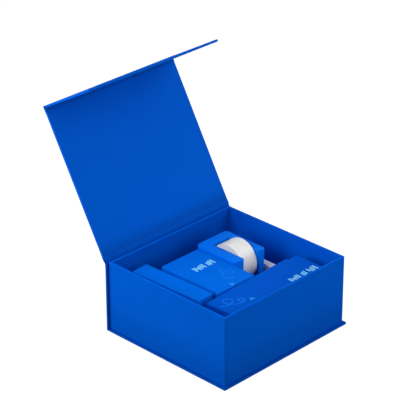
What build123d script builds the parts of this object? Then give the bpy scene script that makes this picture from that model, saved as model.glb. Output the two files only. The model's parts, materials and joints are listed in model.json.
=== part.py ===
"""Archival box: a rigid book-style case of paper-covered greyboard with a magnetic front flap.

The lid stands open. The tray holds a tape dispenser, three flat-topped cartons and a note pad.
X runs along the hinge, -Y is the front, +Z is up. The origin is on the underside of the base,
below the centre of the tray.
"""

import os

from build123d import *

# ---------------------------------------------------------------- case and tray
board = 2.0  # greyboard of every panel and tray wall
paper = 0.2  # cover paper, one layer
tray_width = 165.0  # outside, covered
tray_depth = 152.4  # outside, covered
tray_height = 72.2  # from the top of the base to the rim
side_lip = 2.5  # base, spine and lid stand out past the tray's sides
base_corner_gap = 0.6  # base ends short of the spine, for the paper to fold
floor_fit = 0.1  # round the tray's floor board
liner_margin = 3.0  # wrap that shows round a liner

# ---------------------------------------------------------------- lid and flap
lid_open_angle = 120.0  # 0 is closed
flap_fold_angle = 90.0  # 0 is flat in line with the lid
lid_clearance = 0.3  # closed lid above the rim
flap_clearance = 0.6  # closed flap in front of the tray
hinge_rise = 0.6  # lid's fold line above the rim
hinge_gap = 1.5  # from the fold line to the lid's back edge
spine_drop = 2.0  # spine's top below the rim, room for the lid's fold
fold_clearance = 0.3  # between the inner corners of the lid and the folded flap
flap_foot = 0.6  # closed flap ends this far above the base

# ---------------------------------------------------------------- closure
magnet_radius = 6.0
magnet_thickness = 1.5
strike_radius = 7.0
strike_thickness = 1.0
closure_spacing = 100.0  # between the two magnets
closure_drop = 20.0  # from the rim down to the magnets
stay_leg = 14.0  # corner stays: paper angles that hold the tray's corners
stay_thickness = 0.1
stay_margin = 4.0  # short of the wall's top and bottom

# ---------------------------------------------------------------- dispenser and tape
dispenser_width = 42.3
dispenser_depth = 53.2
dispenser_x = 30.9
dispenser_y = 24.1
dispenser_drop = 6.6  # its top below the rim
dispenser_corner = 4.0
dispenser_edge = 0.6
foot_thickness = 1.0
foot_margin = 3.0
roll_radius = 20.6
roll_width = 20.0
roll_clearance = 0.5  # each side of the roll in its slot
roll_swing = 1.8  # pocket wall off the roll
roll_setback = 1.6  # roll behind the dispenser's front face
roll_below_rim = 0.6
slot_offset = 0.7  # slot to the right of the dispenser's middle
slot_from_back = 12.2  # solid block behind the slot, at the top
core_radius = 13.5
core_wall = 1.2
axle_radius = 3.0
axle_clearance = 0.08
axle_reach = 3.0  # axle into each cheek
hub_web = 3.0  # disc between the hub's axle and its rim
hub_rim = 1.4
bridge_depth = 6.0  # bar across the front of the slot
bridge_below_roll = 5.2
blade_thickness = 0.6
blade_height = 7.0
blade_seat = 3.0  # blade sunk in the bridge
blade_tooth = 1.2
blade_teeth = 16
ballast_size = (32.0, 38.0, 8.0)

# ---------------------------------------------------------------- cartons and pad
card = 0.8  # carton wall
lid_depth = 14.0  # skirt of a carton's lid
lid_fit = 0.15  # between a carton's neck and its lid's skirt
wide_carton = (49.6, 74.9)
wide_carton_at = (-16.2, 9.45)
wide_carton_drop = 9.7
slim_carton = (19.7, 85.2)
slim_carton_at = (-55.5, 18.2)
slim_carton_turn = 2.2
slim_carton_drop = 10.0
long_carton = (127.0, 38.5)
long_carton_at = (3.55, -48.04)
long_carton_turn = 2.5
long_carton_drop = 10.5
long_carton_notch = (11.5, 3.0)  # cut out of its back right corner
pad_size = (5.4, 68.0, 44.2)
pad_backing = 1.1
pad_at = (56.05, 10.0)

# ---------------------------------------------------------------- derived
panel = board + 2 * paper
rim = panel + tray_height
case_width = tray_width + 2 * side_lip
floor_top = panel + board
inside_floor = floor_top + paper
inside_width = tray_width - 2 * panel
inside_depth = tray_depth - 2 * panel
tray_back = tray_depth / 2
spine_outer = tray_back + panel
spine_top = rim - spine_drop
flap_outer = -(tray_depth / 2 + flap_clearance + panel)


def fold_plane(origin, angle):
    """The plane of a panel hung on a fold line: it reaches along local -Y, and local +Z is outward.

    At 0 degrees it lies flat above the tray, at 90 it stands up behind it.
    """
    return Plane(origin, x_dir=(1, 0, 0), z_dir=Vector(0, 0, 1).rotate(Axis.X, -angle))


def slab(plane, width, start, end, thickness):
    """A flat rectangular piece on a fold plane, from start to end along it."""
    with BuildPart() as flat:
        with BuildSketch(plane):
            with Locations((0, -(start + end) / 2)):
                Rectangle(width, end - start)
        extrude(amount=thickness)
    return flat.part


def panel_core(plane, start, end):
    """Greyboard of a covered panel."""
    return slab(plane.offset(paper), case_width - 2 * paper, start + paper, end - paper, board)


def panel_liner(plane, start, end):
    """Paper on the inner face, inside the wrap's visible border."""
    return slab(plane, case_width - 2 * liner_margin, start + liner_margin, end - liner_margin, paper)


def panel_wrap(plane, start, end, border):
    """Paper round the outer face and the four edges, folded in by a border on the inner face."""
    with BuildPart() as wrap:
        add(slab(plane, case_width, start, end, panel))
        add(panel_core(plane, start, end), mode=Mode.SUBTRACT)
        add(
            slab(plane, case_width - 2 * border, start + border, end - border, paper),
            mode=Mode.SUBTRACT,
        )
    return wrap.part


def disc(plane, across, along, radius, thickness):
    """A round plate on a fold plane."""
    with BuildPart() as plate:
        with BuildSketch(plane):
            with Locations((across, -along)):
                Circle(radius)
        extrude(amount=thickness)
    return plate.part


pieces = {}


def keep(name, part):
    """Label a finished piece and list it for export."""
    part.label = name
    pieces[name] = part


# ---------------------------------------------------------------- planes of the four panels
base_start = -(tray_back - base_corner_gap)
base_end = -flap_outer
spine_plane = fold_plane((0, tray_back, 0), 90)
lid_axis = Vector(0, spine_outer, rim + hinge_rise)
lid_hinge_plane = fold_plane(lid_axis, lid_open_angle)
lid_plane = lid_hinge_plane.offset(lid_clearance - hinge_rise)
fold_reach = spine_outer - flap_outer  # lid's fold line to the flap's fold line
lid_end = fold_reach - panel - fold_clearance
flap_axis = lid_plane.from_local_coords(Vector(0, -fold_reach, panel))
flap_hinge_plane = fold_plane(flap_axis, lid_open_angle - flap_fold_angle)
flap_plane = flap_hinge_plane.offset(-panel)
fold_height = rim + lid_clearance + panel  # flap's fold line above the table, closed
flap_start = panel + fold_clearance
flap_end = fold_height - panel - flap_foot

# ---------------------------------------------------------------- base
with BuildPart() as base_board:
    with BuildSketch(Plane.XY.offset(paper)):
        with Locations((0, -(base_start + base_end) / 2)):
            Rectangle(case_width - 2 * paper, base_end - base_start - 2 * paper)
    extrude(amount=board)
keep("base_board", base_board.part)

with BuildPart() as base_wrap:
    with BuildSketch(Plane.XY):
        with Locations((0, -(base_start + base_end) / 2)):
            Rectangle(case_width, base_end - base_start)
    extrude(amount=panel)
    add(base_board.part, mode=Mode.SUBTRACT)
    with BuildSketch(Plane.XY.offset(paper + board)):
        Rectangle(inside_width, inside_depth)
    extrude(amount=paper, mode=Mode.SUBTRACT)
keep("base_wrap", base_wrap.part)

# ---------------------------------------------------------------- spine
keep("spine_board", panel_core(spine_plane, 0, spine_top))
keep("spine_wrap", panel_wrap(spine_plane, 0, spine_top, liner_margin))
keep("spine_liner", panel_liner(spine_plane, 0, spine_top))

# ---------------------------------------------------------------- lid
keep("lid_board", panel_core(lid_plane, hinge_gap, lid_end))
keep("lid_wrap", panel_wrap(lid_plane, hinge_gap, lid_end, liner_margin))
keep("lid_liner", panel_liner(lid_plane, hinge_gap, lid_end))

# ---------------------------------------------------------------- flap, with its magnets
magnet_along = fold_height - (rim - closure_drop)
magnets = [
    disc(flap_plane.offset(paper), side * closure_spacing / 2, magnet_along, magnet_radius, magnet_thickness)
    for side in (-1, 1)
]
with BuildPart() as flap_board:
    add(panel_core(flap_plane, flap_start, flap_end))
    add(magnets, mode=Mode.SUBTRACT)
keep("flap_board", flap_board.part)
keep("flap_wrap", panel_wrap(flap_plane, flap_start, flap_end, liner_margin))
keep("flap_liner", panel_liner(flap_plane, flap_start, flap_end))
keep("flap_magnets", Compound(children=magnets))

# ---------------------------------------------------------------- tray walls
wall_base = panel
wall_top = rim - paper
board_width = tray_width - 2 * paper
board_depth = tray_depth - 2 * paper
front_face = Plane((0, -board_depth / 2, 0), x_dir=(1, 0, 0), z_dir=(0, 1, 0))
strikes = [
    disc(front_face, side * closure_spacing / 2, rim - closure_drop, strike_radius, strike_thickness)
    for side in (-1, 1)
]


def upright(width, depth, x, y):
    """A tray wall's greyboard."""
    with BuildPart() as wall:
        with BuildSketch(Plane.XY.offset(wall_base)):
            with Locations((x, y)):
                Rectangle(width, depth)
        extrude(amount=wall_top - wall_base)
    return wall.part


with BuildPart() as tray_front:
    add(upright(board_width, board, 0, -(board_depth - board) / 2))
    add(strikes, mode=Mode.SUBTRACT)
keep("tray_front_board", tray_front.part)
keep("strike_plates", Compound(children=strikes))
keep("tray_back_board", upright(board_width, board, 0, (board_depth - board) / 2))
side_depth = board_depth - 2 * board
keep("tray_left_board", upright(board, side_depth, -(board_width - board) / 2, 0))
keep("tray_right_board", upright(board, side_depth, (board_width - board) / 2, 0))

# ---------------------------------------------------------------- tray floor
with BuildPart() as tray_floor:
    with BuildSketch(Plane.XY.offset(paper + board)):
        Rectangle(inside_width - 2 * floor_fit, inside_depth - 2 * floor_fit)
    extrude(amount=floor_top - paper - board)
keep("tray_floor_board", tray_floor.part)

with BuildPart() as floor_liner:
    with BuildSketch(Plane.XY.offset(floor_top)):
        Rectangle(inside_width - 2 * floor_fit, inside_depth - 2 * floor_fit)
    extrude(amount=paper)
keep("tray_floor_liner", floor_liner.part)

# ---------------------------------------------------------------- corner stays and tray wrap
with BuildPart() as corner_stays:
    with BuildSketch(Plane.XY.offset(wall_base + stay_margin)):
        for side_x in (-1, 1):
            for side_y in (-1, 1):
                corner_x = side_x * board_width / 2
                corner_y = side_y * board_depth / 2
                with Locations((corner_x - side_x * stay_leg / 2, corner_y + side_y * stay_thickness / 2)):
                    Rectangle(stay_leg, stay_thickness)
                with Locations((corner_x + side_x * stay_thickness / 2, corner_y - side_y * stay_leg / 2)):
                    Rectangle(stay_thickness, stay_leg)
                with Locations(
                    (corner_x + side_x * stay_thickness / 2, corner_y + side_y * stay_thickness / 2)
                ):
                    Rectangle(stay_thickness, stay_thickness)
    extrude(amount=wall_top - wall_base - 2 * stay_margin)
keep("corner_stays", corner_stays.part)

with BuildPart() as tray_wrap:
    with BuildSketch(Plane.XY.offset(wall_base)):
        Rectangle(tray_width, tray_depth)
        Rectangle(inside_width, inside_depth, mode=Mode.SUBTRACT)
    extrude(amount=tray_height)
    with BuildSketch(Plane.XY.offset(wall_base)):
        Rectangle(board_width, board_depth)
        Rectangle(board_width - 2 * board, board_depth - 2 * board, mode=Mode.SUBTRACT)
    extrude(amount=wall_top - wall_base, mode=Mode.SUBTRACT)
    add(corner_stays.part, mode=Mode.SUBTRACT)
keep("tray_wrap", tray_wrap.part)

# ---------------------------------------------------------------- tape dispenser
dispenser_top = rim - dispenser_drop
dispenser_base = inside_floor + foot_thickness
dispenser_front = dispenser_y - dispenser_depth / 2
slot_width = roll_width + 2 * roll_clearance
slot_back = dispenser_y + dispenser_depth / 2 - slot_from_back
slot_x = dispenser_x + slot_offset
roll_y = dispenser_front + roll_setback + roll_radius
roll_z = rim - roll_below_rim - roll_radius
roll_plane = Plane((slot_x, roll_y, roll_z), x_dir=(0, 1, 0), z_dir=(1, 0, 0))
bridge_top = roll_z - roll_radius - bridge_below_roll
blade_y = dispenser_front + bridge_depth / 2

with BuildPart() as ballast:
    with BuildSketch(Plane.XY.offset(dispenser_base)):
        with Locations((dispenser_x, dispenser_y)):
            RectangleRounded(ballast_size[0], ballast_size[1], dispenser_corner)
    extrude(amount=ballast_size[2])
keep("dispenser_ballast", ballast.part)

with BuildPart() as blade:
    with BuildSketch(Plane.XZ.offset(-(blade_y + blade_thickness / 2))):
        with Locations((slot_x, bridge_top - blade_seat + blade_height / 2)):
            Rectangle(roll_width, blade_height)
        tooth_pitch = roll_width / blade_teeth
        with Locations((slot_x, bridge_top - blade_seat + blade_height)):
            with GridLocations(tooth_pitch, 0, blade_teeth, 1):
                Polygon((-tooth_pitch / 2, 0), (tooth_pitch / 2, 0), (0, blade_tooth), align=None)
    extrude(amount=blade_thickness)
keep("cutter_blade", blade.part)

with BuildPart() as dispenser:
    with BuildSketch(Plane.XY.offset(dispenser_base)):
        with Locations((dispenser_x, dispenser_y)):
            RectangleRounded(dispenser_width, dispenser_depth, dispenser_corner)
    extrude(amount=dispenser_top - dispenser_base)
    fillet(dispenser.faces().sort_by(Axis.Z)[-1].edges(), dispenser_edge)
    with BuildSketch(Plane.XY.offset(bridge_top)):
        with Locations((slot_x, (dispenser_front + slot_back) / 2)):
            Rectangle(slot_width, slot_back - dispenser_front)
    extrude(amount=dispenser_top - bridge_top, mode=Mode.SUBTRACT)
    with BuildSketch(roll_plane.offset(-slot_width / 2)):
        Circle(roll_radius + roll_swing)
    extrude(amount=slot_width, mode=Mode.SUBTRACT)
    with BuildSketch(roll_plane.offset(-slot_width / 2 - axle_reach)):
        Circle(axle_radius + axle_clearance)
    extrude(amount=slot_width + 2 * axle_reach, mode=Mode.SUBTRACT)
    add(blade.part, mode=Mode.SUBTRACT)
    add(ballast.part, mode=Mode.SUBTRACT)
keep("dispenser_body", dispenser.part)

with BuildPart() as foot:
    with BuildSketch(Plane.XY.offset(inside_floor)):
        with Locations((dispenser_x, dispenser_y)):
            RectangleRounded(
                dispenser_width - 2 * foot_margin, dispenser_depth - 2 * foot_margin, dispenser_corner
            )
    extrude(amount=foot_thickness)
keep("dispenser_foot", foot.part)


def round_piece(outer, inner, width):
    """A ring, or a disc where inner is 0, centred on the roll's axis."""
    with BuildPart() as ring:
        with BuildSketch(roll_plane.offset(-width / 2)):
            Circle(outer)
            if inner:
                Circle(inner, mode=Mode.SUBTRACT)
        extrude(amount=width)
    return ring.part


core_bore = core_radius - core_wall
with BuildPart() as hub:
    add(round_piece(core_bore, core_bore - hub_rim, roll_width))
    add(round_piece(core_bore - hub_rim / 2, 0, hub_web))
    add(round_piece(axle_radius, 0, slot_width + 2 * (axle_reach - axle_clearance)))
keep("roll_hub", hub.part)
keep("tape_core", round_piece(core_radius, core_bore, roll_width))
keep("tape_roll", round_piece(roll_radius, core_radius, roll_width))


# ---------------------------------------------------------------- cartons
def carton_outline(size, inset, notch):
    """A carton's plan, moved in by inset, with an optional notch in its back right corner."""
    Rectangle(size[0] - 2 * inset, size[1] - 2 * inset)
    if notch:
        with Locations(((size[0] - notch[0]) / 2, (size[1] - notch[1]) / 2)):
            Rectangle(notch[0] + 2 * inset, notch[1] + 2 * inset, mode=Mode.SUBTRACT)


def carton(name, size, at, drop, turn=0.0, notch=None):
    """A two-piece carton: a body whose neck goes up inside a cap lid."""
    top = rim - drop
    seat = Plane((at[0], at[1], inside_floor), x_dir=Vector(1, 0, 0).rotate(Axis.Z, turn), z_dir=(0, 0, 1))
    height = top - inside_floor
    shoulder = height - lid_depth
    neck_inset = card + lid_fit
    with BuildPart() as body:
        with BuildSketch(seat):
            carton_outline(size, 0, notch)
        extrude(amount=shoulder)
        with BuildSketch(seat.offset(shoulder)):
            carton_outline(size, neck_inset, notch)
        extrude(amount=lid_depth - neck_inset)
        with BuildSketch(seat.offset(card)):
            carton_outline(size, neck_inset + card, notch)
        extrude(amount=height, mode=Mode.SUBTRACT)
    keep(name + "_body", body.part)
    with BuildPart() as cap:
        with BuildSketch(seat.offset(shoulder)):
            carton_outline(size, 0, notch)
        extrude(amount=lid_depth)
        with BuildSketch(seat.offset(shoulder)):
            carton_outline(size, card, notch)
        extrude(amount=lid_depth - card, mode=Mode.SUBTRACT)
    keep(name + "_lid", cap.part)


carton("wide_carton", wide_carton, wide_carton_at, wide_carton_drop)
carton("slim_carton", slim_carton, slim_carton_at, slim_carton_drop, slim_carton_turn)
carton("long_carton", long_carton, long_carton_at, long_carton_drop, long_carton_turn, long_carton_notch)

# ---------------------------------------------------------------- note pad, on its long edge
with BuildPart() as pad_sheets:
    with BuildSketch(Plane.XY.offset(inside_floor)):
        with Locations(pad_at):
            Rectangle(pad_size[0], pad_size[1])
    extrude(amount=pad_size[2])
keep("note_pad_sheets", pad_sheets.part)

with BuildPart() as pad_back:
    with BuildSketch(Plane.XY.offset(inside_floor)):
        with Locations((pad_at[0] + (pad_size[0] + pad_backing) / 2, pad_at[1])):
            Rectangle(pad_backing, pad_size[1])
    extrude(amount=pad_size[2])
keep("note_pad_backing", pad_back.part)

# ---------------------------------------------------------------- files
os.makedirs("parts", exist_ok=True)
for name, part in pieces.items():
    export_step(part, f"parts/{name}.step")
print("lid hinge at", lid_axis, "flap hinge at", flap_axis, "roll centre at", slot_x, roll_y, roll_z)
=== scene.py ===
import json
import math
import random

import bmesh
import bpy
from mathutils import Matrix, Vector


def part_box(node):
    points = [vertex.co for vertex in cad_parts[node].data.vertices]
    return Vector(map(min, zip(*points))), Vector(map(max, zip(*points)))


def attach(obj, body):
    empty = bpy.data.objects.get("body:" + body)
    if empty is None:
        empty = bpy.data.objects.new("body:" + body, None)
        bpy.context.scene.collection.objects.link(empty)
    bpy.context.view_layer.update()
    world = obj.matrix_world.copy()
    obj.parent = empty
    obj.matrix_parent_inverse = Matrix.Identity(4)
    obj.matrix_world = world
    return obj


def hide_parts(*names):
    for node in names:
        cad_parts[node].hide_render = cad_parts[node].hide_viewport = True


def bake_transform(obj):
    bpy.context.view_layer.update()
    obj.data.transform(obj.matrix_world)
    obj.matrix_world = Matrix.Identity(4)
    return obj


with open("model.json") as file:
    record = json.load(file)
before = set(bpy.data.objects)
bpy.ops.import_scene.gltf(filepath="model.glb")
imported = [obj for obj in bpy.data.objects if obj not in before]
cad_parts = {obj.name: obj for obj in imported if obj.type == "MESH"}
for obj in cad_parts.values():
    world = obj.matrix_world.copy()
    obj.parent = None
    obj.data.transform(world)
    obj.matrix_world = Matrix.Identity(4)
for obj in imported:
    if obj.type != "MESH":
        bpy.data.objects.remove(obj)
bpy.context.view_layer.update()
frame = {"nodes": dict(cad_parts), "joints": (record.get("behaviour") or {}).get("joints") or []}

MM = 0.001
NODES = frame["nodes"]
JOINTS = {joint["name"]: joint for joint in frame["joints"]}

# ---------------------------------------------------------------- colours, as linear values
CASE_BLUE = (0.0, 0.095, 0.57)
# painted shade: a darker copy of CASE_BLUE, for the spine, the base, the tray's inner back wall and the hinge
# linings
SHADED_CASE_BLUE = (0.0, 0.072, 0.45)
# painted shadow: a dark blue for the base's upward faces, a shadow line round the tray's foot
FOOT_SHADOW_BLUE = (0.0, 0.045, 0.31)
CARTON_BLUE = (0.0, 0.132, 0.69)
LONG_CARTON_BLUE = (0.0, 0.086, 0.55)
DISPENSER_BLUE = (0.0, 0.160, 0.80)
PRINT_PALE = (0.27, 0.72, 0.98)
PRINT_SOFT = (0.005, 0.195, 0.84)
PRINT_MARK = (0.02, 0.28, 0.82)
GREYBOARD = (0.36, 0.33, 0.29)
WHITE_PAPER = (0.84, 0.84, 0.83)
FILM_WHITE = (0.72, 0.72, 0.69)
# painted highlight: a paler band along the roll's rims
FILM_RIM_HIGHLIGHT = (0.86, 0.87, 0.88)
# painted shade: the flat sides toned darker and warmer, against the lamp and the blue light thrown on them
FILM_SIDE = (0.70, 0.68, 0.60)
HUB_WHITE = (0.74, 0.77, 0.82)
CORE_CARD = (0.62, 0.60, 0.56)
FOOT_BLACK = (0.030, 0.030, 0.035)
STEEL = (0.58, 0.59, 0.60)
NICKEL = (0.68, 0.68, 0.70)
CAST_IRON = (0.16, 0.16, 0.17)


# ---------------------------------------------------------------- places that the frame gives
def fold_frame(origin, angle):
    """The directions of a panel on a fold line: across, along the panel, and outward."""
    across = Vector((-1, 0, 0))
    along = Vector((0, -math.cos(angle), math.sin(angle)))
    out = Vector((0, math.sin(angle), math.cos(angle)))
    turn = Matrix((across, along, out)).transposed().to_4x4()
    return Matrix.Translation(origin) @ turn


ROW = Matrix.Identity(4)
lid_axis = Vector(JOINTS["lid_hinge"]["pos_m"])
flap_axis = Vector(JOINTS["flap_hinge"]["pos_m"])
lid_angle = math.radians(-JOINTS["lid_hinge"]["range_deg"][0])
flap_angle = lid_angle - math.radians(JOINTS["flap_hinge"]["range_deg"][1])
lid_frame = fold_frame(lid_axis, lid_angle)
flap_frame = fold_frame(flap_axis, flap_angle)
spine_frame = fold_frame(Vector((0, lid_axis.y, 0)), math.pi / 2)
tray_low, tray_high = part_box("tray_wrap")
rim = tray_high.z
roll_low, roll_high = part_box("tape_roll")
roll_centre = (roll_low + roll_high) / 2
lid_along = lid_frame.to_3x3() @ Vector((0, 1, 0))


# ---------------------------------------------------------------- materials
class Shader:
    """A material made of nodes, around one Principled BSDF."""

    def __init__(self, name, **constants):
        self.material = bpy.data.materials.new(name)
        self.material.use_nodes = True
        self.tree = self.material.node_tree
        self.surface = self.tree.nodes["Principled BSDF"]
        for key, value in constants.items():
            self.surface.inputs[key.replace("_", " ")].default_value = value
        self.place = self.add("TexCoord").outputs["Object"]

    def add(self, kind, inputs=None, **settings):
        node = self.tree.nodes.new("ShaderNode" + kind)
        for key, value in settings.items():
            setattr(node, key, value)
        for key, value in (inputs or {}).items():
            self.put(node.inputs[key], value)
        return node

    def put(self, socket, value):
        if isinstance(value, bpy.types.NodeSocket):
            self.tree.links.new(value, socket)
        else:
            socket.default_value = value

    def stretched(self, x, y, z):
        """Object coordinates scaled along each axis."""
        return self.add("Mapping", {"Vector": self.place, "Scale": (x, y, z)}).outputs["Vector"]

    def noise(self, scale, detail=3.0, roughness=0.6, vector=None):
        inputs = {"Vector": vector or self.place, "Scale": scale, "Detail": detail, "Roughness": roughness}
        return self.add("TexNoise", inputs).outputs["Fac"]

    def ranged(self, value, low, high, start=0.3, end=0.7):
        inputs = {"Value": value, "From Min": start, "From Max": end, "To Min": low, "To Max": high}
        return self.add("MapRange", inputs).outputs["Result"]

    def blend(self, factor, first, second):
        mix = self.add("Mix", data_type="RGBA")
        self.put(mix.inputs["Factor"], factor)
        self.put(mix.inputs[6], first)
        self.put(mix.inputs[7], second)
        return mix.outputs[2]

    def sum(self, first, second, second_share=1.0):
        inputs = {0: second, 1: second_share, 2: first}
        return self.add("Math", inputs, operation="MULTIPLY_ADD").outputs[0]

    def bump(self, height, depth):
        node = self.add("Bump", {"Height": height, "Distance": depth, "Strength": 1.0})
        self.put(self.surface.inputs["Normal"], node.outputs["Normal"])

    def colour(self, value):
        self.put(self.surface.inputs["Base Color"], value)

    def roughness(self, value):
        self.put(self.surface.inputs["Roughness"], value)


def shade(colour, factor):
    """A colour made darker or lighter, with alpha."""
    return (*(min(1.0, part * factor) for part in colour), 1.0)


def paper(name, colour, mottling=0.05, tooth=0.025, roughness=0.6, painted_shade=None):
    """Uncoated dyed paper: cloudy tone, fine fibres, a dry surface.

    With painted shade the paper is darker by a share near a line, standing in for shade there: a point
    on it, the direction away from it, how far the shade fades out, and the share.
    """
    shader = Shader(name, Specular_IOR_Level=0.008)
    cloud = shader.noise(38, 4, 0.55)
    fibre = shader.noise(900, 5, 0.75, shader.stretched(1.0, 0.35, 0.6))
    speck = shader.noise(2600, 2, 0.5)
    tone = shader.blend(
        shader.ranged(cloud, 0, 1), shade(colour, 1 - mottling), shade(colour, 1 + mottling)
    )
    flecks = shader.blend(shader.ranged(fibre, 0, 1, 0.25, 0.8), tone, shade(colour, 1.12))
    if painted_shade:
        point, away, fade, share = painted_shade
        # painted shade: the colour darkens towards the line and fades out away from it
        offset = shader.add("VectorMath", {0: shader.place, 1: point}, operation="SUBTRACT").outputs[0]
        distance = shader.add("VectorMath", {0: offset, 1: away}, operation="DOT_PRODUCT").outputs["Value"]
        uneven = shader.sum(distance, cloud, -0.15 * fade)
        deep = shader.add("MapRange", {
            "Value": uneven, "From Min": -0.1 * fade, "From Max": 0.9 * fade, "To Min": 1.0, "To Max": 0.0,
        }, interpolation_type="SMOOTHERSTEP").outputs["Result"]
        flecks = shader.blend(deep, flecks, shade(colour, 1 - share))
    shader.colour(flecks)
    shader.roughness(shader.ranged(fibre, roughness - 0.07, roughness + 0.07))
    shader.bump(shader.sum(fibre, speck, 0.5), tooth * MM)
    return shader.material


def carton_card(name, colour):
    """Printed card with a thin satin varnish."""
    shader = Shader(name, Specular_IOR_Level=0.01)
    cloud = shader.noise(55, 3, 0.5)
    fine = shader.noise(1500, 4, 0.7)
    shader.colour(shader.blend(shader.ranged(cloud, 0, 1), shade(colour, 0.97), shade(colour, 1.03)))
    shader.roughness(shader.ranged(fine, 0.42, 0.54))
    shader.bump(fine, 0.012 * MM)
    return shader.material


def greyboard(name, colour):
    """Pulp board: coarse flecked fibres, dead matt."""
    shader = Shader(name, Specular_IOR_Level=0.15)
    pulp = shader.noise(600, 6, 0.8)
    fleck = shader.noise(1800, 2, 0.5)
    tone = shader.blend(shader.ranged(pulp, 0, 1), shade(colour, 0.8), shade(colour, 1.15))
    shader.colour(shader.blend(shader.ranged(fleck, 0, 1, 0.62, 0.7), tone, shade(colour, 0.45)))
    shader.roughness(shader.ranged(pulp, 0.85, 0.95))
    shader.bump(pulp, 0.06 * MM)
    return shader.material


def moulded_plastic(name, colour, grain=0.018, roughness=0.42):
    """Injection-moulded plastic with a spark-eroded grain."""
    shader = Shader(name, Specular_IOR_Level=0.025)
    grains = shader.noise(1400, 3, 0.65)
    cloud = shader.noise(30, 2, 0.5)
    shader.colour(shader.blend(shader.ranged(cloud, 0, 1), shade(colour, 0.97), shade(colour, 1.03)))
    shader.roughness(shader.ranged(grains, roughness - 0.05, roughness + 0.06))
    shader.bump(grains, grain * MM)
    return shader.material


def rubber(name, colour):
    shader = Shader(name, Specular_IOR_Level=0.25)
    grit = shader.noise(1100, 4, 0.7)
    shader.colour(shader.blend(shader.ranged(grit, 0, 1), shade(colour, 0.8), shade(colour, 1.25)))
    shader.roughness(shader.ranged(grit, 0.75, 0.9))
    shader.bump(grit, 0.04 * MM)
    return shader.material


def metal(name, colour, roughness, brushed):
    """Bare metal, brushed along X or cast."""
    shader = Shader(name, Metallic=1.0)
    stretch = shader.stretched(0.03, 1.0, 1.0) if brushed else shader.place
    grain = shader.noise(2400 if brushed else 500, 4, 0.7, stretch)
    shader.colour(shader.blend(shader.ranged(grain, 0, 1), shade(colour, 0.85), shade(colour, 1.1)))
    shader.roughness(shader.ranged(grain, roughness - 0.08, roughness + 0.1))
    shader.bump(grain, (0.01 if brushed else 0.12) * MM)
    return shader.material


def tape_film(name, colour, axis_point, half_width):
    """Frosted film, wound: a milky body, streaks round the roll, rings on its sides, a painted highlight
    along each rim, and painted shade on the flat sides.
    """
    shader = Shader(
        name, Specular_IOR_Level=0.45, Subsurface_Weight=0.25, Subsurface_Scale=1.2 * MM, Coat_Weight=0.15
    )
    shader.surface.inputs["Subsurface Radius"].default_value = (1.0, 1.0, 1.2)
    shader.surface.inputs["Coat Roughness"].default_value = 0.25
    centred = shader.add("VectorMath", {0: shader.place, 1: axis_point}, operation="SUBTRACT").outputs[0]
    flat = shader.add("VectorMath", {0: centred, 1: (0.0, 1.0, 1.0)}, operation="MULTIPLY").outputs[0]
    radius = shader.add("VectorMath", {0: flat}, operation="LENGTH").outputs["Value"]
    across = shader.add("SeparateXYZ", {0: shader.place}).outputs["X"]
    line = shader.add("CombineXYZ", {"X": across, "Y": radius}).outputs[0]
    rings = shader.noise(2200, 3, 0.6, line)
    middle = shader.add("Math", {0: across, 1: axis_point.x}, operation="SUBTRACT").outputs[0]
    off_middle = shader.add("Math", {0: middle}, operation="ABSOLUTE").outputs[0]
    # painted highlight: the band along each rim
    edge = shader.ranged(off_middle, 0, 1, half_width - 1.3 * MM, half_width - 0.6 * MM)
    # painted shade: the flat sides, toned against the lamp and the dispenser's blue light
    side = shader.ranged(off_middle, 0, 1, half_width - 0.4 * MM, half_width - 0.25 * MM)
    bubbles = shader.noise(160, 5, 0.65)
    soft = shader.blend(shader.ranged(bubbles, 0, 1), shade(colour, 0.9), shade(colour, 1.06))
    wound = shader.blend(shader.ranged(rings, 0, 1, 0.3, 0.8), soft, shade(colour, 1.12))
    rim_highlighted = shader.blend(edge, wound, shade(FILM_RIM_HIGHLIGHT, 1))
    shader.colour(shader.blend(side, rim_highlighted, shade(FILM_SIDE, 1)))
    shader.roughness(shader.ranged(bubbles, 0.3, 0.5))
    shader.bump(shader.sum(rings, bubbles, 1.5), 0.03 * MM)
    return shader.material


def sheet_stack(name, colour):
    """The cut edges and faces of a stack of thin white sheets, stacked along X."""
    shader = Shader(name, Specular_IOR_Level=0.2)
    layers = shader.noise(2400, 2, 0.5, shader.stretched(1.0, 0.01, 0.01))
    fibre = shader.noise(1200, 4, 0.7)
    shader.colour(shader.blend(shader.ranged(layers, 0, 1), shade(colour, 0.9), shade(colour, 1.04)))
    shader.roughness(shader.ranged(fibre, 0.65, 0.8))
    shader.bump(shader.sum(layers, fibre, 0.4), 0.02 * MM)
    return shader.material


# painted shade: the tray's outer walls darker towards the bottom, by a tenth over 45 mm
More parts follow.
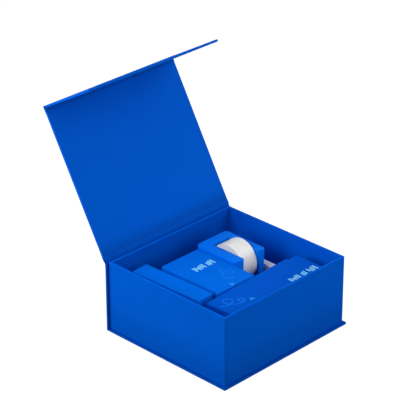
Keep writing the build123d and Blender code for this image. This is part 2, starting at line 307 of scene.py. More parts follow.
SHADE_NEAR_FOOT = ((0, 0, tray_low.z), (0, 0, 1), 45 * MM, 0.1)
# painted shade: the lid's cover and lining darker towards the fold, by 28 percent over 24 mm
SHADE_NEAR_FOLD = (lid_axis, lid_along, 24 * MM, 0.28)
MATERIALS = {
    "case": paper("case_paper", CASE_BLUE),
    "wall": paper("wall_paper", CASE_BLUE, painted_shade=SHADE_NEAR_FOOT),
    # painted shade: the case paper in a darker copy
    "deep": paper("painted_shade_case_paper", SHADED_CASE_BLUE, 0.08, 0.03),
    # painted highlight: a lighter copy of the case paper for the rounded edges
    "case_edge_highlight": paper("case_paper_edge_highlight", tuple(part * 1.03 for part in CASE_BLUE), 0.09, 0.03, 0.55),
    "lining": paper("lining_paper", CASE_BLUE, 0.04, 0.02),
    "lid_case": paper("lid_case_paper", CASE_BLUE, painted_shade=SHADE_NEAR_FOLD),
    # painted shadow: the dark paper on the base's upward faces
    "painted_foot_shadow": paper("painted_foot_shadow_paper", FOOT_SHADOW_BLUE, 0.08, 0.03),
    "lid_lining": paper("lid_lining_paper", CASE_BLUE, 0.04, 0.02, painted_shade=SHADE_NEAR_FOLD),
    "carton": carton_card("carton_card", CARTON_BLUE),
    # painted highlight: lighter carton card for the rounded edges
    "carton_edge": carton_card("carton_card_edge", tuple(part * 1.1 for part in CARTON_BLUE)),
    "long_carton": carton_card("long_carton_card", LONG_CARTON_BLUE),
    # painted highlight: lighter long-carton card for the rounded edges
    "long_carton_edge": carton_card("long_carton_card_edge", tuple(part * 1.15 for part in LONG_CARTON_BLUE)),
    "print_pale": carton_card("pale_print", PRINT_PALE),
    "print_soft": carton_card("soft_print", PRINT_SOFT),
    "print_mark": carton_card("mark_print", PRINT_MARK),
    "greyboard": greyboard("greyboard", GREYBOARD),
    "white_paper": paper("white_paper", WHITE_PAPER, 0.03, 0.02, 0.7),
    "sheets": sheet_stack("sheet_stack", WHITE_PAPER),
    "dispenser": moulded_plastic("dispenser_plastic", DISPENSER_BLUE),
    "hub": moulded_plastic("hub_plastic", HUB_WHITE, 0.01, 0.35),
    "foot": rubber("foot_rubber", FOOT_BLACK),
    "steel": metal("brushed_steel", STEEL, 0.3, True),
    "magnet": metal("magnet_plating", NICKEL, 0.2, True),
    "ballast": metal("cast_ballast", CAST_IRON, 0.6, False),
    "core": greyboard("core_card", CORE_CARD),
    "tape": tape_film("tape_film", FILM_WHITE, roll_centre, (roll_high.x - roll_low.x) / 2),
}

# ---------------------------------------------------------------- the CAD nodes that stay
CAD_MATERIALS = {
    "greyboard": [
        "base_board", "spine_board", "lid_board", "flap_board", "tray_front_board", "tray_back_board",
        "tray_left_board", "tray_right_board", "tray_floor_board",
    ],
    "lining": ["tray_floor_liner"],
    "steel": ["strike_plates", "cutter_blade"],
    "magnet": ["flap_magnets"],
    "foot": ["dispenser_foot"],
    "ballast": ["dispenser_ballast"],
    "hub": ["roll_hub"],
    "core": ["tape_core"],
}
for key, names in CAD_MATERIALS.items():
    for name in names:
        NODES[name].data.materials.clear()
        NODES[name].data.materials.append(MATERIALS[key])


# ---------------------------------------------------------------- mesh helpers
def outline(corners, radii, steps=5):
    """Points and outward normals round an anticlockwise polygon, with each corner rounded."""
    found = []
    count = len(corners)
    for i, corner in enumerate(corners):
        point = Vector(corner)
        before = (point - Vector(corners[i - 1])).normalized()
        after = (Vector(corners[(i + 1) % count]) - point).normalized()
        normal_in = Vector((before.y, -before.x))
        normal_out = Vector((after.y, -after.x))
        turn = math.atan2(before.x * after.y - before.y * after.x, before.dot(after))
        if radii[i] == 0:
            found.append((point, (normal_in + normal_out) / (1 + normal_in.dot(normal_out))))
            continue
        side = 1 if turn > 0 else -1
        start = point - before * radii[i] * math.tan(abs(turn) / 2)
        centre = start - side * normal_in * radii[i]
        for step in range(steps + 1):
            normal = Matrix.Rotation(turn * step / steps, 2) @ normal_in
            found.append((centre + side * normal * radii[i], normal))
    return found


def rectangle(low, high, radius, steps=5):
    """A rounded rectangle between two corners."""
    corners = [(low[0], low[1]), (high[0], low[1]), (high[0], high[1]), (low[0], high[1])]
    return outline(corners, [radius] * 4, steps)


def rounded(bottom, top, lower, upper, steps=4):
    """Levels, as (inset, height), of an upright wall with rounded lower and upper edges."""
    quarter = [math.pi / 2 * step / steps for step in range(steps + 1)]
    low = [(lower * (1 - math.sin(a)), bottom + lower * (1 - math.cos(a))) for a in quarter]
    high = [(upper * (1 - math.cos(a)), top - upper * (1 - math.sin(a))) for a in quarter]
    return low + high


def loop_at(points, inset, height):
    return [(*(point - normal * inset), height) for point, normal in points]


def mesh_object(name, bm, materials):
    bmesh.ops.remove_doubles(bm, verts=bm.verts, dist=1e-7)
    bmesh.ops.recalc_face_normals(bm, faces=bm.faces)
    mesh = bpy.data.meshes.new(name)
    bm.to_mesh(mesh)
    bm.free()
    for material in materials:
        mesh.materials.append(MATERIALS[material])
    made = bpy.data.objects.new(name, mesh)
    bpy.context.scene.collection.objects.link(made)
    return made


LARGE_FACE = (10 * MM) ** 2


def apply_modifiers(piece):
    """Put the result of a piece's modifiers into its mesh."""
    graph = bpy.context.evaluated_depsgraph_get()
    mesh = bpy.data.meshes.new_from_object(piece.evaluated_get(graph), depsgraph=graph)
    piece.modifiers.clear()
    piece.data = mesh


def smooth(piece, sharp=50):
    """Smooth shading that keeps large faces flat and edges over a set angle crisp."""
    piece.data.shade_smooth()
    piece.data.set_sharp_from_angle(angle=math.radians(sharp))
    for face in piece.data.polygons:
        if face.area > LARGE_FACE:
            face.use_smooth = False
    weighted = piece.modifiers.new("weighted", "WEIGHTED_NORMAL")
    weighted.keep_sharp = True
    weighted.weight = 100
    apply_modifiers(piece)


def mark_edges(piece, place):
    """The second material on every face that is turned away from the piece's own axes."""
    # where the second material is a lighter copy, this paints a highlight on the rounded edges
    turn = place.to_3x3().inverted()
    for face in piece.data.polygons:
        if max(abs(part) for part in (turn @ face.normal).normalized()) < 0.985:
            face.material_index = 1


def skin(name, place, loops, materials, capped=True, closed=False):
    """A surface through loops of as many points each, placed by a matrix."""
    bm = bmesh.new()
    rows = [[bm.verts.new(place @ Vector(point)) for point in loop] for loop in loops]
    pairs = list(zip(rows, rows[1:]))
    if closed:
        pairs.append((rows[-1], rows[0]))
    for lower, upper in pairs:
        for i in range(len(lower)):
            j = (i + 1) % len(lower)
            corners = (lower[i], lower[j], upper[j], upper[i])
            if len({tuple(round(part, 8) for part in corner.co) for corner in corners}) > 2:
                bm.faces.new(corners)
    if capped and not closed:
        bm.faces.new(list(reversed(rows[0])))
        bm.faces.new(rows[-1])
    made = mesh_object(name, bm, materials)
    if len(materials) > 1:
        mark_edges(made, place)
    smooth(made)
    return made


def block(name, place, low, high, corner, edge, materials, lower_edge=None):
    """A solid block in a place's own directions, with rounded corners and edges."""
    lower = edge if lower_edge is None else lower_edge
    points = rectangle(low, high, corner)
    loops = [loop_at(points, *level) for level in rounded(low[2], high[2], lower, edge)]
    return skin(name, place, loops, materials)


def stand_for(piece, body, *nodes, slot):
    """Ride on a body in place of CAD nodes. The slot argument is not used."""
    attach(piece, body)
    if nodes:
        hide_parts(*nodes)
    return piece


def reach(node, place):
    """The lowest and highest corners of a CAD node in a place's own directions."""
    back = place.inverted()
    points = [back @ vertex.co for vertex in NODES[node].data.vertices]
    low = Vector([min(point[i] for point in points) for i in range(3)])
    high = Vector([max(point[i] for point in points) for i in range(3)])
    return low, high


# ---------------------------------------------------------------- covered panels of the case
PANEL_CORNER = 0.6 * MM
PANEL_EDGE = 0.5 * MM
LINING_MARGIN = 3.0 * MM
LINING_PROUD = 0.08 * MM
TURN_IN_PROUD = 0.04 * MM


def turned_in_paper(name, place, low, high, body, material):
    """The paper folded in on a panel's inner face: the two strips along its sides, with mitred ends; the
    short strips between them are not drawn.
    """
    bm = bmesh.new()
    top, bottom = low.z - TURN_IN_PROUD, low.z + TURN_IN_PROUD
    inner = LINING_MARGIN + 1.0 * MM
    start = PANEL_EDGE
    for side in (0, 1):
        edge_x = (low.x, high.x)[side]
        sign = (1, -1)[side]
        corners = [
            (edge_x + sign * start, low.y + start), (edge_x + sign * inner, low.y + inner),
            (edge_x + sign * inner, high.y - inner), (edge_x + sign * start, high.y - start),
        ]
        upper = [bm.verts.new(place @ Vector((*corner, top))) for corner in corners]
        lower = [bm.verts.new(place @ Vector((*corner, bottom))) for corner in corners]
        bm.faces.new(upper)
        bm.faces.new(list(reversed(lower)))
        for i in range(4):
            j = (i + 1) % 4
            bm.faces.new((upper[i], upper[j], lower[j], lower[i]))
    stand_for(mesh_object(name, bm, [material]), body, slot="cover_paper")


def covered_panel(part, place, body, papers, lining):
    """A panel's cover paper with its turned-in edges, and the lining sheet pasted inside."""
    low, high = reach(part + "_wrap", place)
    cover = block(part + "_cover", place, low, high, PANEL_CORNER, PANEL_EDGE, papers)
    stand_for(cover, body, part + "_wrap", slot="cover_paper")
    turned_in_paper(part + "_turn_in", place, low, high, body, papers[0])
    sheet_low = Vector((low.x + LINING_MARGIN, low.y + LINING_MARGIN, low.z - LINING_PROUD))
    sheet_high = Vector((high.x - LINING_MARGIN, high.y - LINING_MARGIN, low.z + LINING_PROUD))
    sheet = block(part + "_lining", place, sheet_low, sheet_high, 0.6 * MM, 0.06 * MM, [lining])
    stand_for(sheet, body, part + "_liner", slot="liner_paper")


covered_panel("lid", lid_frame, "lid", ["lid_case", "case_edge_highlight"], "lid_lining")
covered_panel("flap", flap_frame, "flap", ["case", "case_edge_highlight"], "lining")
# the spine's cover is in the darker copy of the case paper: painted shade
covered_panel("spine", spine_frame, "root", ["deep", "deep"], "lining")

base_low, base_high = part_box("base_wrap")
# the base's cover is in the darker copy of the case paper: painted shade
base_cover = block(
    "base_cover", ROW, base_low, base_high, PANEL_CORNER, PANEL_EDGE, ["deep", "deep", "painted_foot_shadow"]
)
# painted shadow: the base's upward faces, a lip round the tray's foot, take the dark blue
for face in base_cover.data.polygons:
    if face.normal.z > 0.9:
        face.material_index = 2
stand_for(base_cover, "root", "base_wrap", slot="cover_paper")


# ---------------------------------------------------------------- paper over the folds
def curve(points, steps=14):
    """A Bezier curve through four control points."""
    found = []
    for step in range(steps + 1):
        t = step / steps
        weights = ((1 - t) ** 3, 3 * t * (1 - t) ** 2, 3 * t * t * (1 - t), t**3)
        found.append(sum((w * Vector(p) for w, p in zip(weights, points)), Vector((0, 0))))
    return found


def fold_paper(name, path, width, thickness, material="case", columns=12):
    """A sheet of paper that follows a path in the YZ plane, as wide as the case."""
    normals = []
    for i in range(len(path)):
        step = (path[min(i + 1, len(path) - 1)] - path[max(i - 1, 0)]).normalized()
        normals.append(Vector((step.y, -step.x)) * thickness / 2)
    outer = [point + normal for point, normal in zip(path, normals)]
    inner = [point - normal for point, normal in zip(path, normals)]
    section = outer + list(reversed(inner))
    loops = [
        [(width * (column / columns - 0.5), point.x, point.y) for point in section]
        for column in range(columns + 1)
    ]
    return skin(name, ROW, loops, [material])


def on_frame(place, along, out):
    """A point of the YZ plane from its distances along and out of a fold frame, in millimetres."""
    point = place @ Vector((0, along * MM, out * MM))
    return Vector((point.y, point.z))


case_width = base_high.x - base_low.x - 0.3 * MM
spine_face = lid_axis.y
lid_low, lid_high = (corner / MM for corner in reach("lid_wrap", lid_frame))
flap_low = reach("flap_wrap", flap_frame)[0] / MM
OUTER_PAPER = 0.2
INNER_PAPER = 0.1

spine_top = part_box("spine_wrap")[1].z
outer_start = Vector((spine_face + 0.05 * MM, spine_top - 0.8 * MM))
outer_end = on_frame(lid_frame, lid_low.y + 1.0, lid_high.z + 0.05)
outer_path = [outer_start - Vector((0, 2.5 * MM))] + curve([
    outer_start,
    outer_start + Vector((0.3 * MM, 2.4 * MM)),
    on_frame(lid_frame, lid_low.y - 1.6, lid_high.z + 0.05),
    outer_end,
]) + [on_frame(lid_frame, lid_low.y + 4.0, lid_high.z + 0.05)]
outer_hinge = fold_paper("lid_hinge_paper", outer_path, case_width, OUTER_PAPER * MM)
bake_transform(outer_hinge)

inner_start = Vector((spine_face - 0.9 * MM, spine_top + 0.1 * MM))
inner_end = on_frame(lid_frame, lid_low.y + 0.7, lid_low.z - 0.05)
inner_path = [
    Vector((tray_high.y + 0.08 * MM, rim - 0.7 * MM)),
    Vector((tray_high.y + 0.12 * MM, spine_top + 0.5 * MM)),
    Vector((tray_high.y + 0.45 * MM, spine_top + 0.12 * MM)),
] + curve([
    inner_start,
    inner_start + Vector((0.8 * MM, 0.1 * MM)),
    on_frame(lid_frame, lid_low.y - 1.8, lid_low.z - 0.05),
    inner_end,
]) + [on_frame(lid_frame, lid_low.y + 3.0, lid_low.z - 0.05)]
# the lining in the lid's hinge is in the darker copy of the case paper: painted shade in the crease
inner_hinge = fold_paper("lid_hinge_lining", inner_path, case_width, INNER_PAPER * MM, "deep")
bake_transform(inner_hinge)

lid_side = fold_frame(flap_axis, lid_angle)
flap_from = on_frame(lid_side, -flap_low.y + 0.5, 0.05)
flap_to = on_frame(flap_frame, flap_low.y - 0.5, 0.05)
flap_path = [on_frame(lid_side, -flap_low.y - 3.0, 0.05)] + curve([
    flap_from,
    on_frame(lid_side, -0.2, 0.05),
    on_frame(flap_frame, 0.2, 0.05),
    flap_to,
]) + [on_frame(flap_frame, flap_low.y + 3.0, 0.05)]
flap_hinge = fold_paper("flap_hinge_paper", flap_path, case_width, OUTER_PAPER * MM)
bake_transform(flap_hinge)

inner_level = flap_low.z - 0.05
fold_from = on_frame(lid_side, -flap_low.y - 0.4, inner_level)
fold_to = on_frame(flap_frame, flap_low.y + 0.4, inner_level)
fold_path = [
    on_frame(lid_side, -flap_low.y - 3.0, inner_level), fold_from,
    fold_to, on_frame(flap_frame, flap_low.y + 3.0, inner_level),
]
# the lining in the flap's fold is in the darker copy of the case paper: painted shade in the crease
flap_lining = fold_paper("flap_hinge_lining", fold_path, case_width, INNER_PAPER * MM, "deep")
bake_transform(flap_lining)

# ---------------------------------------------------------------- tray cover
TRAY_CORNER = 0.6 * MM
RIM_EDGE = 0.45 * MM
FOOT_EDGE = 0.15 * MM
SEAM_INSET = 2.6 * MM
SEAM_PROUD = 0.09 * MM
floor_low, floor_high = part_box("tray_floor_liner")
wall = (tray_high.x - tray_low.x - (floor_high.x - floor_low.x)) / 2
outer_wall = rectangle(tray_low, tray_high, TRAY_CORNER)
inner_wall = rectangle(
    (tray_low.x + wall, tray_low.y + wall), (tray_high.x - wall, tray_high.y - wall), 0.3 * MM
)
tray_loops = [
    loop_at(outer_wall, *level) for level in rounded(tray_low.z, rim, FOOT_EDGE, RIM_EDGE)
] + [
    loop_at(inner_wall, -inset, height)
    for inset, height in reversed(rounded(tray_low.z, rim, 0, RIM_EDGE)[5:])
] + [loop_at(inner_wall, 0, tray_low.z)]
tray_cover = skin("tray_cover", ROW, tray_loops, ["wall", "case_edge_highlight", "lining", "deep"], closed=True)
for face in tray_cover.data.polygons:
    centre = face.center
    inside = abs(centre.x) < tray_high.x - wall / 2 and abs(centre.y) < tray_high.y - wall / 2
    if inside and centre.z < rim - RIM_EDGE:
        # the inner back wall takes the darker copy of the case paper: painted shade
        face.material_index = 3 if face.normal.y < -0.9 else 2
stand_for(tray_cover, "root", "tray_wrap", slot="cover_paper")


def seam_sheet(name, side):
    """The last sheet pasted on a long wall of the tray: it stops short of the corners."""
    wall_y = (tray_low.y, tray_high.y)[side > 0]
    place = Matrix.Translation((0, wall_y, 0)) @ Matrix.Rotation(math.pi / 2, 4, "X")
    low = Vector((tray_low.x + SEAM_INSET, tray_low.z + FOOT_EDGE, -SEAM_PROUD))
    high = Vector((tray_high.x - SEAM_INSET, rim - RIM_EDGE, SEAM_PROUD))
    sheet = block(name, place, low, high, 0.2 * MM, 0.05 * MM, ["wall", "case_edge_highlight"])
    stand_for(sheet, "root", slot="cover_paper")


seam_sheet("tray_front_sheet", -1)


def corner_stays():
    """Paper angles under the tray's cover, one round each upright corner."""
    depth, thick, leg = 0.1 * MM, 0.1 * MM, 14 * MM
    low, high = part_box("corner_stays")
    across, deep = tray_high.x - depth, tray_high.y - depth
    corners = [
        (across - leg, deep - thick), (across - thick, deep - thick), (across - thick, deep - leg),
        (across, deep - leg), (across, deep), (across - leg, deep),
    ]
    bend = TRAY_CORNER - depth
    points = outline(corners, [0, bend - thick, 0, 0, bend, 0])
    loops = [loop_at(points, 0, low.z), loop_at(points, 0, high.z)]
    stays = [
        skin("corner_stay_papers", Matrix.Diagonal((side_x, side_y, 1, 1)), loops, ["white_paper"])
        for side_x, side_y in [(1, 1), (-1, 1), (-1, -1), (1, -1)]
    ]
    with bpy.context.temp_override(active_object=stays[0], selected_editable_objects=stays):
        bpy.ops.object.join()
    stand_for(stays[0], "root", "corner_stays", slot="white_paper")


corner_stays()

# ---------------------------------------------------------------- cartons
CARTON_CORNER = 0.5 * MM
CARTON_EDGE = 0.45 * MM
SEAM_EDGE = 0.18 * MM
PRINT_PROUD = 0.03 * MM


def carton_frame(name):
    """A carton's own directions: its turn is read from its lid's top edge."""
    top = max(vertex.co.z for vertex in NODES[name + "_lid"].data.vertices)
    points = [v.co for v in NODES[name + "_lid"].data.vertices if abs(v.co.z - top) < 1e-6]
    left = min(points, key=lambda point: (round(point.x + point.y * 0.2, 6)))
    right = max(points, key=lambda point: (round(point.x - point.y * 0.2, 6)))
    low = min(points, key=lambda point: point.y + point.x * 0.01)
    angle = math.atan2(right.y - low.y, right.x - low.x) if right != low else 0.0
    centre = Vector(((left.x + right.x) / 2, (left.y + right.y) / 2, 0))
    return Matrix.Translation(centre) @ Matrix.Rotation(angle, 4, "Z")


def carton(name, material, notch=None):
    """A two-piece carton: the cap lid's skirt meets the body's shoulder at a fine seam."""
    place = carton_frame(name)
    for part in ("body", "lid"):
        low, high = reach(f"{name}_{part}", place)
        if part == "body":
            high.z = reach(name + "_lid", place)[0].z
        corners = [(low.x, low.y), (high.x, low.y)]
        if notch:
            across, deep = notch
            corners += [(high.x, high.y - deep), (high.x - across, high.y - deep), (high.x - across, high.y)]
        else:
            corners.append((high.x, high.y))
        corners.append((low.x, high.y))
        points = outline(corners, [CARTON_CORNER] * len(corners))
        upper = CARTON_EDGE if part == "lid" else SEAM_EDGE
        lower = SEAM_EDGE if part == "lid" else CARTON_EDGE
        loops = [loop_at(points, *level) for level in rounded(low.z, high.z, lower, upper)]
        # the second material lights the carton's rounded edges: painted highlight
        piece = skin(f"{name}_{part}_skin", place, loops, [material, material + "_edge"])
        stand_for(piece, name, f"{name}_{part}", slot="carton_card")
    return place, high


wide_place, wide_top = carton("wide_carton", "carton")
carton("slim_carton", "carton")
long_place, long_top = carton("long_carton", "long_carton", (11.5 * MM, 3.0 * MM))


# ---------------------------------------------------------------- generic printed marks
def flat_patch(bm, place, points, height):
    """A thin raised patch with the given outline, anticlockwise."""
    upper = [bm.verts.new(place @ Vector((x, y, height + PRINT_PROUD))) for x, y in points]
    lower = [bm.verts.new(place @ Vector((x, y, height - PRINT_PROUD))) for x, y in points]
    bm.faces.new(upper)
    bm.faces.new(list(reversed(lower)))
    for i in range(len(points)):
        j = (i + 1) % len(points)
        bm.faces.new((upper[j], upper[i], lower[i], lower[j]))


def ribbon(bm, place, path, width, height):
    """A thin printed line along a path."""
    left, right = [], []
    for i, point in enumerate(path):
        step = (path[min(i + 1, len(path) - 1)] - path[max(i - 1, 0)]).normalized()
        side = Vector((-step.y, step.x)) * width / 2
        left.append(point + side)
        right.append(point - side)
    for i in range(len(path) - 1):
        corners = [right[i], right[i + 1], left[i + 1], left[i]]
        flat_patch(bm, place, corners, height)


def dashes(name, place, body, start, heading, lengths, tall, gap, height):
    """A row of plain bars of uneven height where the carton carries its wording."""
    bm = bmesh.new()
    turn = Matrix.Rotation(heading, 2)
    at = 0.0
    shares = [(0.0, 1.0), (0.3, 0.95), (0.05, 0.75), (0.0, 0.9), (0.2, 1.0)]
    for number, length in enumerate(lengths):
        foot, head = (share * tall for share in shares[number % len(shares)])
        if length > 0:
            corners = [(at, foot), (at + length, foot), (at + length, head), (at, head)]
            points = [Vector(start) + turn @ Vector(corner) for corner in corners]
            flat_patch(bm, place, points, height)
        at += abs(length) + gap
    stand_for(mesh_object(name, bm, ["print_pale"]), body, slot="carton_card")


def loops_and_pointer(name, place, body, centre, heading, size, stretch, height):
    """A generic flourish: a lazy double loop of thin line, and a small solid pointer at its end.

    The stretch is how much longer the loops are drawn than round ones.
    """
    turn = Matrix.Rotation(heading, 2)
    bm = bmesh.new()
    steps = 84
    path = []
    for step in range(steps + 1):
        t = step / steps
        a = 2 * math.pi * (1.9 * t - 0.3)
        reach_out = 0.62 - 0.22 * t
        along = stretch * (1.9 * t - 0.95 + reach_out * math.cos(a))
        flat = Vector((size * along, size * reach_out * math.sin(a)))
        path.append(Vector(centre) + turn @ flat)
    ribbon(bm, place, path, 1.0 * MM, height)
    stand_for(mesh_object(name + "_line", bm, ["print_soft"]), body, slot="carton_card")
    bm = bmesh.new()
    tip = Vector(centre) + turn @ Vector((size * 1.75, size * 0.1))
    arrow = [(-3.0, -3.2), (3.6, 0), (-3.0, 3.2), (-1.4, 0)]
    flat_patch(bm, place, [tip + turn @ Vector((x * MM, y * MM)) for x, y in arrow], height)
    stand_for(mesh_object(name + "_pointer", bm, ["print_mark"]), body, slot="carton_card")


def in_place(place, x, y):
    """A row point's place in a carton's own directions, from millimetres."""
    point = place.inverted() @ Vector((x * MM, y * MM, 0))
    return (point.x, point.y)


def strokes(words):
    """Bar lengths for words of so many strokes each, with a space between words."""
    widths = [1.3, 1.1, 1.6, 1.2]
    found = []
    for number, count in enumerate(words):
        found += [-1.5] if number else []
        found += [widths[(number + i) % len(widths)] for i in range(count)]
    return [width * MM for width in found]


dashes("wide_carton_print", wide_place, "wide_carton", in_place(wide_place, -24.6, 14.8),
       math.radians(1.5), strokes([6, 4]), 8.2 * MM, 1.15 * MM, wide_top.z)
dashes("long_carton_print", long_place, "long_carton", in_place(long_place, 25.5, -63.4), 0.0,
       strokes([6, 3, 5]), 8.2 * MM, 1.05 * MM, long_top.z)
loops_and_pointer("wide_carton_flourish", wide_place, "wide_carton", in_place(wide_place, -8, -9),
                  math.radians(-128), 11 * MM, 1.0, wide_top.z)
loops_and_pointer("long_carton_flourish", long_place, "long_carton", in_place(long_place, -41, -47.5),
                  math.radians(-34), 10.5 * MM, 1.25, long_top.z)

# ---------------------------------------------------------------- tape dispenser
dispenser_low, dispenser_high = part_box("dispenser_body")
hub_low, hub_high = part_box("roll_hub")
roll_radius = (roll_high.z - roll_low.z) / 2
SLOT_GAP = 0.5 * MM
BACK_WALL = 12.2 * MM
BRIDGE_DROP = 5.2 * MM
POCKET_GAP = 1.8 * MM
SEAT_RADIUS = 3.08 * MM
SEAT_END_GAP = 0.08 * MM
slot_low_x = roll_low.x - SLOT_GAP
slot_high_x = roll_high.x + SLOT_GAP
slot_back = dispenser_high.y - BACK_WALL
bridge_top = roll_low.z - BRIDGE_DROP
DISPENSER_CORNER = 4.0 * MM
DISPENSER_EDGE = 1.1 * MM
SLOT_EDGE = 0.4 * MM

dispenser = block(
    "dispenser_shell", ROW, dispenser_low, dispenser_high, DISPENSER_CORNER, DISPENSER_EDGE,
    ["dispenser"], lower_edge=0.6 * MM,
)


def slot_cutter():
    """The slot's shape, flared along its top and front edges so that the cut leaves them rounded."""
    front = dispenser_low.y
    corners = [
        (slot_low_x - SLOT_EDGE, front - 2 * MM), (slot_high_x + SLOT_EDGE, front - 2 * MM),
        (slot_high_x + SLOT_EDGE, front), (slot_high_x, front + SLOT_EDGE),
        (slot_high_x, slot_back), (slot_low_x, slot_back),
        (slot_low_x, front + SLOT_EDGE), (slot_low_x - SLOT_EDGE, front),
    ]
    points = outline(corners, [0, 0, 0, 0, 1.0 * MM, 1.0 * MM, 0, 0])
    steps = 5
    levels = [(0, bridge_top)]
    for step in range(steps + 1):
        a = math.pi / 2 * step / steps
        levels.append((-SLOT_EDGE * (1 - math.cos(a)), dispenser_high.z - SLOT_EDGE * (1 - math.sin(a))))
    levels.append((-SLOT_EDGE, dispenser_high.z + 2 * MM))
    return skin("slot_cutter", ROW, [loop_at(points, *level) for level in levels], ["dispenser"])


def cylinder(name, centre, radius, low_x, high_x, segments=96):
    """A plain round cutter along X."""
    loops = []
    for x in (low_x, high_x):
        turns = [2 * math.pi * i / segments for i in range(segments)]
        loops.append([(x, centre.y + radius * math.cos(a), centre.z + radius * math.sin(a)) for a in turns])
    return skin(name, ROW, loops, ["dispenser"])


def cut(piece, cutter):
    """Take a cutter's shape out of a piece."""
    boolean = piece.modifiers.new("cut", "BOOLEAN")
    boolean.operation = "DIFFERENCE"
    boolean.solver = "EXACT"
    boolean.object = cutter
    apply_modifiers(piece)
    bpy.data.objects.remove(cutter)


cut(dispenser, slot_cutter())
cut(dispenser, cylinder("pocket_cutter", roll_centre, roll_radius + POCKET_GAP, slot_low_x, slot_high_x))
seat_low_x, seat_high_x = hub_low.x - SEAT_END_GAP, hub_high.x + SEAT_END_GAP
cut(dispenser, cylinder("seat_cutter", roll_centre, SEAT_RADIUS, seat_low_x, seat_high_x, 32))
smooth(dispenser, 35)
stand_for(dispenser, "dispenser", "dispenser_body", slot="dispenser_plastic")


# ---------------------------------------------------------------- tape roll
def wound_tape():
    """The roll: fine ridges on its sides where the turns lie, and the outer turn's cut end."""
    core_radius = (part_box("tape_core")[1].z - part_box("tape_core")[0].z) / 2
    half = (roll_high.x - roll_low.x) / 2
    ridge = 0.45 * MM
    turns = int((roll_radius - core_radius) / ridge)
    shift = random.Random(7)
    side = [(core_radius, half - 0.15 * MM)]
    for turn in range(1, turns):
        side.append((core_radius + turn * ridge, half - shift.uniform(0.0, 0.12) * MM))
    side += [
        (roll_radius - 0.3 * MM, half - 0.02 * MM),
        (roll_radius - 0.08 * MM, half - 0.08 * MM),
        (roll_radius, half - 0.3 * MM),
    ]
    profile = side + [(radius, -x) for radius, x in reversed(side)]
    segments = 128
    film = 0.12 * MM
    loops = []
    for segment in range(segments):
        angle = 2 * math.pi * segment / segments
        spiral = film * segment / segments
        loops.append([
            (
                roll_centre.x + x,
                roll_centre.y + (radius - spiral * (radius > core_radius)) * math.cos(angle),
                roll_centre.z + (radius - spiral * (radius > core_radius)) * math.sin(angle),
            )
            for radius, x in profile
        ])
    return skin("wound_tape", ROW, loops, ["tape"], closed=True)


stand_for(wound_tape(), "roll", "tape_roll", slot="tape_film")


# ---------------------------------------------------------------- note pad
def note_pad():
    """A stack of thin sheets on edge, each a hair out of line, glued to a card backing."""
    low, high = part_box("note_pad_sheets")
    shift = random.Random(11)
    count = 14
    thickness = (high.x - low.x) / count
    inset = 0.3 * MM
    edge = 0.05 * MM
    for number in range(count):
        slip_y, slip_z = shift.uniform(-0.2, 0.2) * MM, shift.uniform(0, 0.25) * MM
        near, far = low.x + thickness * (number + 0.06), low.x + thickness * (number + 0.94)
        sheet_low = Vector((near, low.y + inset + slip_y, low.z))
        sheet_high = Vector((far, high.y - inset + slip_y, high.z - slip_z))
        sheet = block(f"note_sheet_{number:02d}", ROW, sheet_low, sheet_high, edge, edge, ["sheets"])
        stand_for(sheet, "note_pad", slot="white_paper")
        if number == 0:
            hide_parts("note_pad_sheets")
    back_low, back_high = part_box("note_pad_backing")
    back = block("note_backing", ROW, back_low, back_high, 0.3 * MM, 0.2 * MM, ["white_paper"])
    stand_for(back, "note_pad", "note_pad_backing", slot="white_paper")


note_pad()


# ---------------------------------------------------------------- floor, light and camera
def seen_directly(tree):
    """1 for camera, glossy and transmission rays, otherwise 0."""
    path = tree.nodes.new("ShaderNodeLightPath")
    total = None
    for name in ("Is Camera Ray", "Is Glossy Ray", "Is Transmission Ray"):
        if total is None:
            total = path.outputs[name]
            continue
        node = tree.nodes.new("ShaderNodeMath")
        node.operation = "MAXIMUM"
        tree.links.new(total, node.inputs[0])
        tree.links.new(path.outputs[name], node.inputs[1])
        total = node.outputs[0]
    return total


def white_floor(glow, albedo):
    """A floor that looks white, and still takes the object's shadow."""
    bpy.ops.mesh.primitive_plane_add(size=12, location=(0, 0, -0.05 * MM))
    floor = bpy.context.object
    floor.name = "floor"
    material = bpy.data.materials.new("floor")
    material.use_nodes = True
    tree = material.node_tree
    tree.nodes.remove(tree.nodes["Principled BSDF"])
    matt = tree.nodes.new("ShaderNodeBsdfDiffuse")
    matt.inputs["Color"].default_value = (albedo, albedo, albedo, 1)
    light = tree.nodes.new("ShaderNodeEmission")
    share = tree.nodes.new("ShaderNodeMath")
    share.operation = "MULTIPLY"
    share.inputs[1].default_value = glow
    tree.links.new(seen_directly(tree), share.inputs[0])
    tree.links.new(share.outputs[0], light.inputs["Strength"])
    both = tree.nodes.new("ShaderNodeAddShader")
    tree.links.new(matt.outputs[0], both.inputs[0])
    tree.links.new(light.outputs[0], both.inputs[1])
    tree.links.new(both.outputs[0], tree.nodes["Material Output"].inputs["Surface"])
    floor.data.materials.append(material)


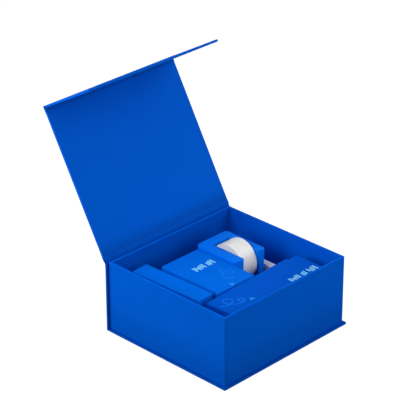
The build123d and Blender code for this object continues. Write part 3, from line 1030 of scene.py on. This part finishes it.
def white_world(seen, ambient):
    """White where it is seen, and a plain soft light on the object."""
    world = bpy.data.worlds.new("studio")
    bpy.context.scene.world = world
    world.use_nodes = True
    tree = world.node_tree
    mix = tree.nodes.new("ShaderNodeMapRange")
    mix.inputs["To Min"].default_value = ambient
    mix.inputs["To Max"].default_value = seen
    tree.links.new(seen_directly(tree), mix.inputs["Value"])
    tree.links.new(mix.outputs["Result"], tree.nodes["Background"].inputs["Strength"])
    tree.nodes["Background"].inputs["Color"].default_value = (1, 1, 1, 1)


def softbox(name, place, target, size, watts):
    lamp = bpy.data.lights.new(name, "AREA")
    lamp.shape = "SQUARE"
    lamp.size = size
    lamp.energy = watts
    holder = bpy.data.objects.new(name, lamp)
    bpy.context.scene.collection.objects.link(holder)
    holder.location = place
    holder.rotation_mode = "QUATERNION"
    holder.rotation_quaternion = (Vector(target) - Vector(place)).to_track_quat("-Z", "Y")


def towards(azimuth, elevation):
    """The direction from the box to where a camera or lamp stands."""
    a, e = math.radians(azimuth), math.radians(elevation)
    return Vector((math.sin(a) * math.cos(e), -math.cos(a) * math.cos(e), math.sin(e)))


def camera(target, azimuth, elevation, distance, lens):
    """A long lens aimed at a target. Azimuth 0 looks along +Y."""
    back = towards(azimuth, elevation)
    data = bpy.data.cameras.new("camera")
    data.lens = lens
    data.sensor_width = 36
    holder = bpy.data.objects.new("camera", data)
    bpy.context.scene.collection.objects.link(holder)
    holder.location = Vector(target) + back * distance
    holder.rotation_mode = "QUATERNION"
    holder.rotation_quaternion = (-back).to_track_quat("-Z", "Y")
    bpy.context.scene.camera = holder


def round_the_box(azimuth, elevation):
    """A lamp's place around the middle of the box. Azimuth 0 is in front, -90 on the left."""
    return box_middle + LAMP_DISTANCE * towards(azimuth, elevation)


LAMP_DISTANCE = 0.8
LAMP_SIZE = 0.5
white_floor(glow=0.95, albedo=0.14)
white_world(seen=0.98, ambient=0.2)
box_middle = Vector((0, 0, rim))
for lamp_name, azimuth, elevation, watts in [
    ("left", -102, 22, 3.5), ("back_left", -130, 35, 3.0), ("front", 7, 22, 2.65), ("right", 50, 45, 2.3),
    ("behind", 178, 10, 1.7), ("far_right", 92, 10, 1.7),
]:
    softbox(lamp_name, round_the_box(azimuth, elevation), box_middle, LAMP_SIZE, watts)
camera(target=(0.0636, 0.0870, 0.0750), azimuth=-45.78, elevation=27.02, distance=2.0, lens=173.6)
bpy.context.scene.view_settings.view_transform = "Standard"
